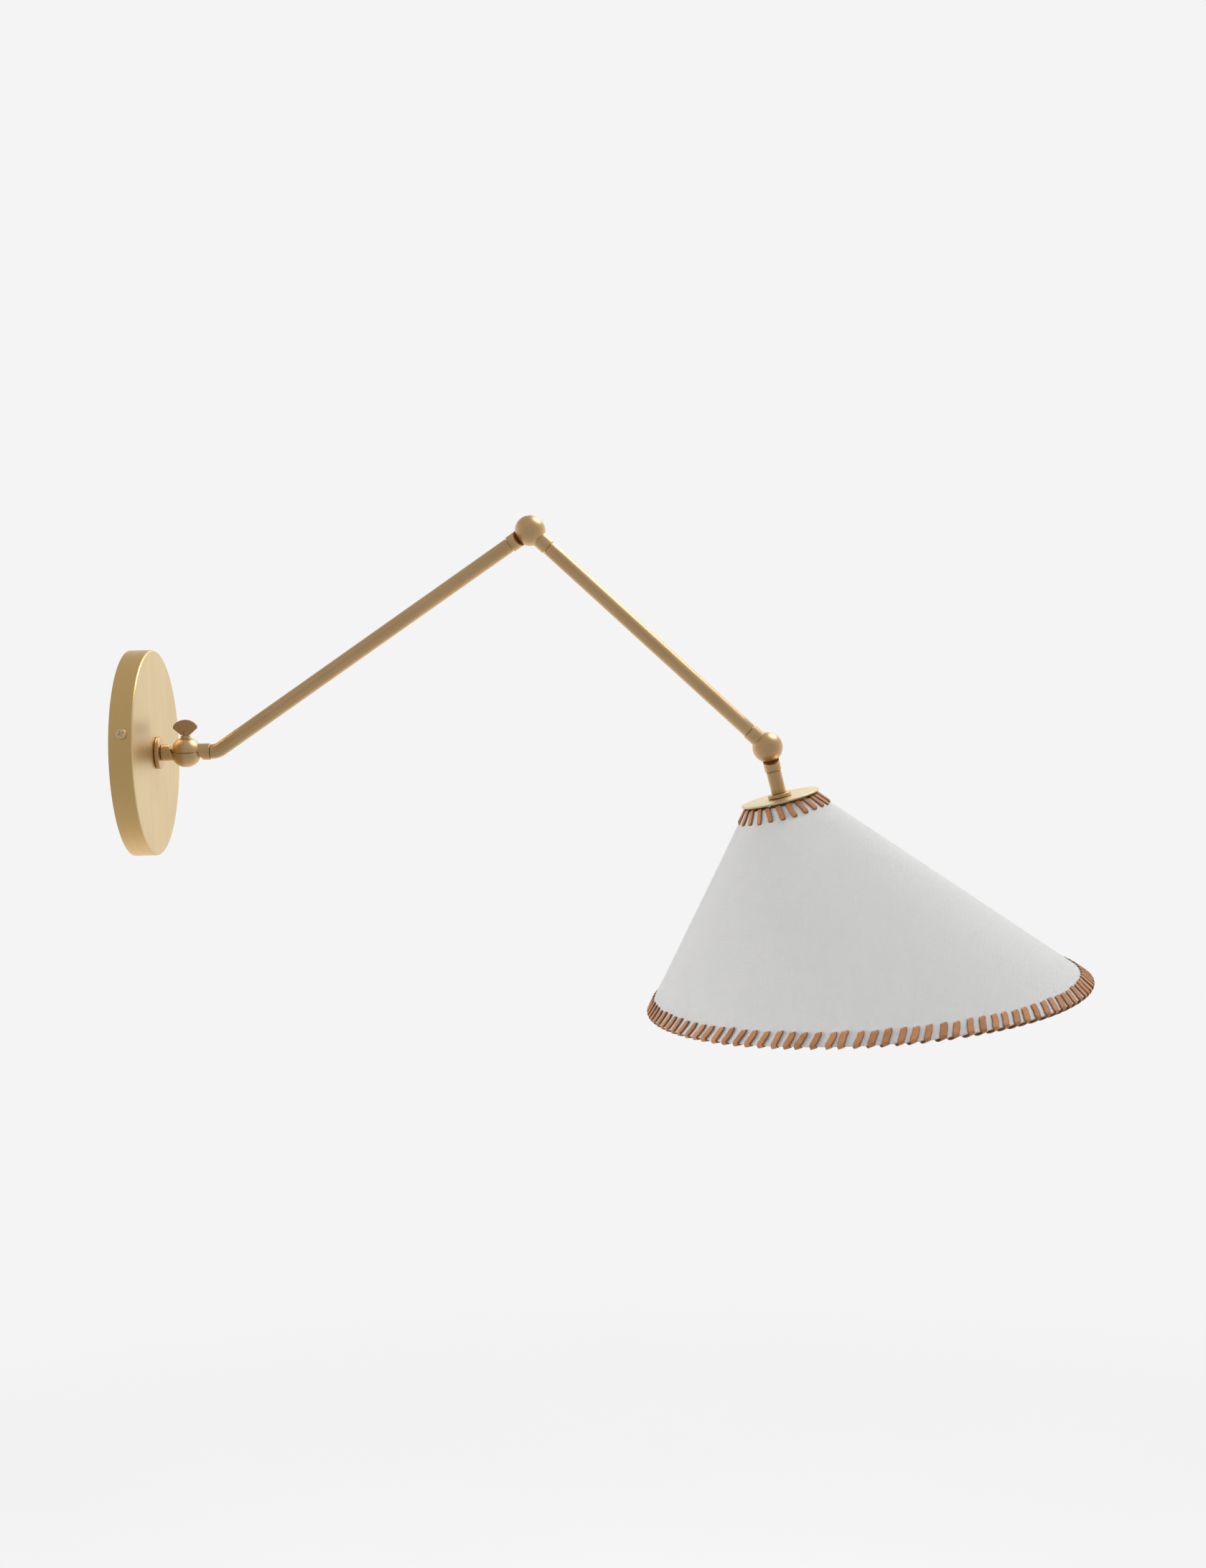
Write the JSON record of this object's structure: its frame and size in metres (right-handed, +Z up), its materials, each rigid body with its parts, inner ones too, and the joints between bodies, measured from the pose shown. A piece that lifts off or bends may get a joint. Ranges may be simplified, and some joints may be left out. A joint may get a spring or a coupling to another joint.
{
  "type": "swing arm wall sconce",
  "caption": "Wall lamp with a round canopy, two jointed metal arms on ball swivels and a wide conical fabric shade laced with leather at its top and rim.",
  "frame": {"origin": "centre of the canopy's back, on the wall plane, where the bracket lies flat on the wall", "axes": "+X out of the wall, +Z up, +Y to the left of someone who faces the wall"},
  "size_m": [0.6501, 0.3056, 0.3438],
  "materials": {
    "pale_brass": "satin, lightly brushed",
    "brushed_brass": "satin, brushed along the tubes and around the balls",
    "zinc_steel": "zinc plated",
    "green_steel": "green passivated",
    "fibre_washer": "vulcanised fibre",
    "white_jacket": "smooth insulation",
    "black_jacket": "smooth insulation",
    "green_jacket": "smooth insulation",
    "connector_plastic": "moulded",
    "phenolic": "moulded phenolic",
    "aluminium": "bright rolled",
    "frosted_glass": "frosted",
    "linen": "off-white linen, plain weave, stiffened",
    "styrene_liner": "white liner behind the linen",
    "leather": "vegetable tanned lace, matt"
  },
  "bodies": {
    "wall_mount": {"wall_bracket": "zinc_steel", "ground_screw": "green_steel", "canopy": "pale_brass", "canopy_screw_near": "brushed_brass", "canopy_screw_far": "brushed_brass", "canopy_lock_washer": "zinc_steel", "canopy_nut": "zinc_steel", "canopy_nipple": "zinc_steel", "canopy_collar": "brushed_brass", "base_swivel_lower": "brushed_brass", "base_friction_washer": "fibre_washer", "lead_live": "black_jacket", "lead_neutral": "white_jacket", "lead_ground": "green_jacket", "wire_connector_live": "connector_plastic", "wire_connector_neutral": "connector_plastic"},
    "thumb_screw_body": {"thumb_screw": "brushed_brass"},
    "lower_arm": {"base_swivel_upper": "brushed_brass", "lower_arm_tube": "brushed_brass", "lower_arm_wire": "white_jacket", "elbow_swivel_far": "brushed_brass"},
    "upper_arm": {"elbow_swivel_near": "brushed_brass", "elbow_pivot_screw": "brushed_brass", "elbow_spring_washer": "zinc_steel", "elbow_friction_washer": "fibre_washer", "upper_arm_tube": "brushed_brass", "upper_arm_wire": "white_jacket", "head_swivel_near": "brushed_brass", "head_pivot_screw": "brushed_brass", "head_spring_washer": "zinc_steel", "head_friction_washer": "fibre_washer"},
    "lamp_head": {"head_swivel_far": "brushed_brass", "stem_tube": "brushed_brass", "stem_collar": "brushed_brass", "stem_nipple": "zinc_steel", "shade_cap": "pale_brass", "stem_nut": "zinc_steel", "stem_wire": "white_jacket", "socket_cap": "brushed_brass", "socket_body": "phenolic", "socket_screw_shell": "aluminium", "socket_contact": "brushed_brass", "bulb_base": "aluminium", "bulb_glass": "frosted_glass", "shade_spider": "zinc_steel", "shade_linen": "linen", "shade_liner": "styrene_liner", "shade_rim_ring": "zinc_steel", "shade_top_lacing": "leather", "shade_rim_lacing": "leather"}
  },
  "joints": [
    {"name": "base_swing", "type": "hinge", "parent": "wall_mount", "child": "lower_arm", "pos_m": [0.0356, 0, 0], "axis": [0, 0, 1], "range_deg": [-75, 75]},
    {"name": "thumb_screw_turn", "type": "hinge", "parent": "wall_mount", "child": "thumb_screw_body", "pos_m": [0.0356, 0, 0], "axis": [0, 0, 1], "range_deg": [0, 360]},
    {"name": "elbow_tilt", "type": "hinge", "parent": "lower_arm", "child": "upper_arm", "pos_m": [0.27411, 0, 0.14444], "axis": [0, 1, 0], "range_deg": [-75, 25]},
    {"name": "head_tilt", "type": "hinge", "parent": "upper_arm", "child": "lamp_head", "pos_m": [0.43162, 0, -0.00556], "axis": [0, 1, 0], "range_deg": [-90, 65]}
  ]
}
